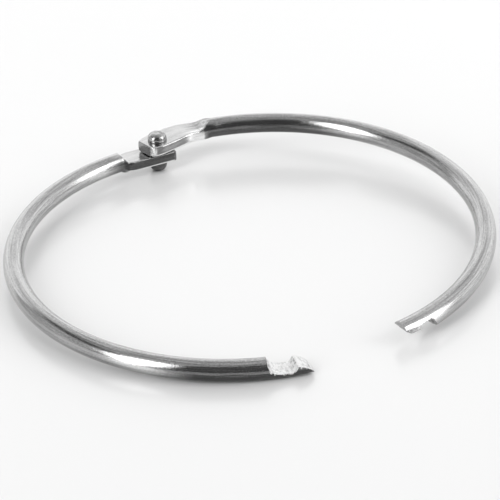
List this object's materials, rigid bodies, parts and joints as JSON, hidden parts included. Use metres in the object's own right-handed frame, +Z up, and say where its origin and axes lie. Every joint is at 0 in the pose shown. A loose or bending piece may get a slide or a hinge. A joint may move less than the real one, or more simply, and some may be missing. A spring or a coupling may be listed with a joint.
{
  "type": "binder ring",
  "caption": "Hinged loose-leaf ring of round plated steel wire that swings open on a riveted tab hinge and closes with two interlocking hooked ends.",
  "frame": {"origin": "centre of the footprint, on the surface that the ring stands on", "axes": "+Z up; +Y from the open mouth to the hinge; +X from the lower half, on the left, to the upper half, on the right"},
  "size_m": [0.0906, 0.085, 0.0081],
  "materials": {
    "plated_wire_lower": "bright nickel plate",
    "plated_wire_upper": "bright nickel plate",
    "plated_rivet": "bright nickel plate"
  },
  "bodies": {
    "lower_half": {"lower_ring_half": "plated_wire_lower"},
    "rivet": {"rivet": "plated_rivet"},
    "upper_half": {"upper_ring_half": "plated_wire_upper"}
  },
  "joints": [
    {"name": "latch_play", "type": "hinge", "parent": "lower_half", "child": "rivet", "pos_m": [0.00027, 0.03867, 0.00436], "axis": [0.989, -0.1478, -0.0036], "range_deg": [0, 0.36]},
    {"name": "hinge_pivot", "type": "hinge", "parent": "rivet", "child": "upper_half", "pos_m": [0.00027, 0.03867, 0.00436], "axis": [0, -0.0247, 0.9997], "range_deg": [-17, 140]}
  ]
}
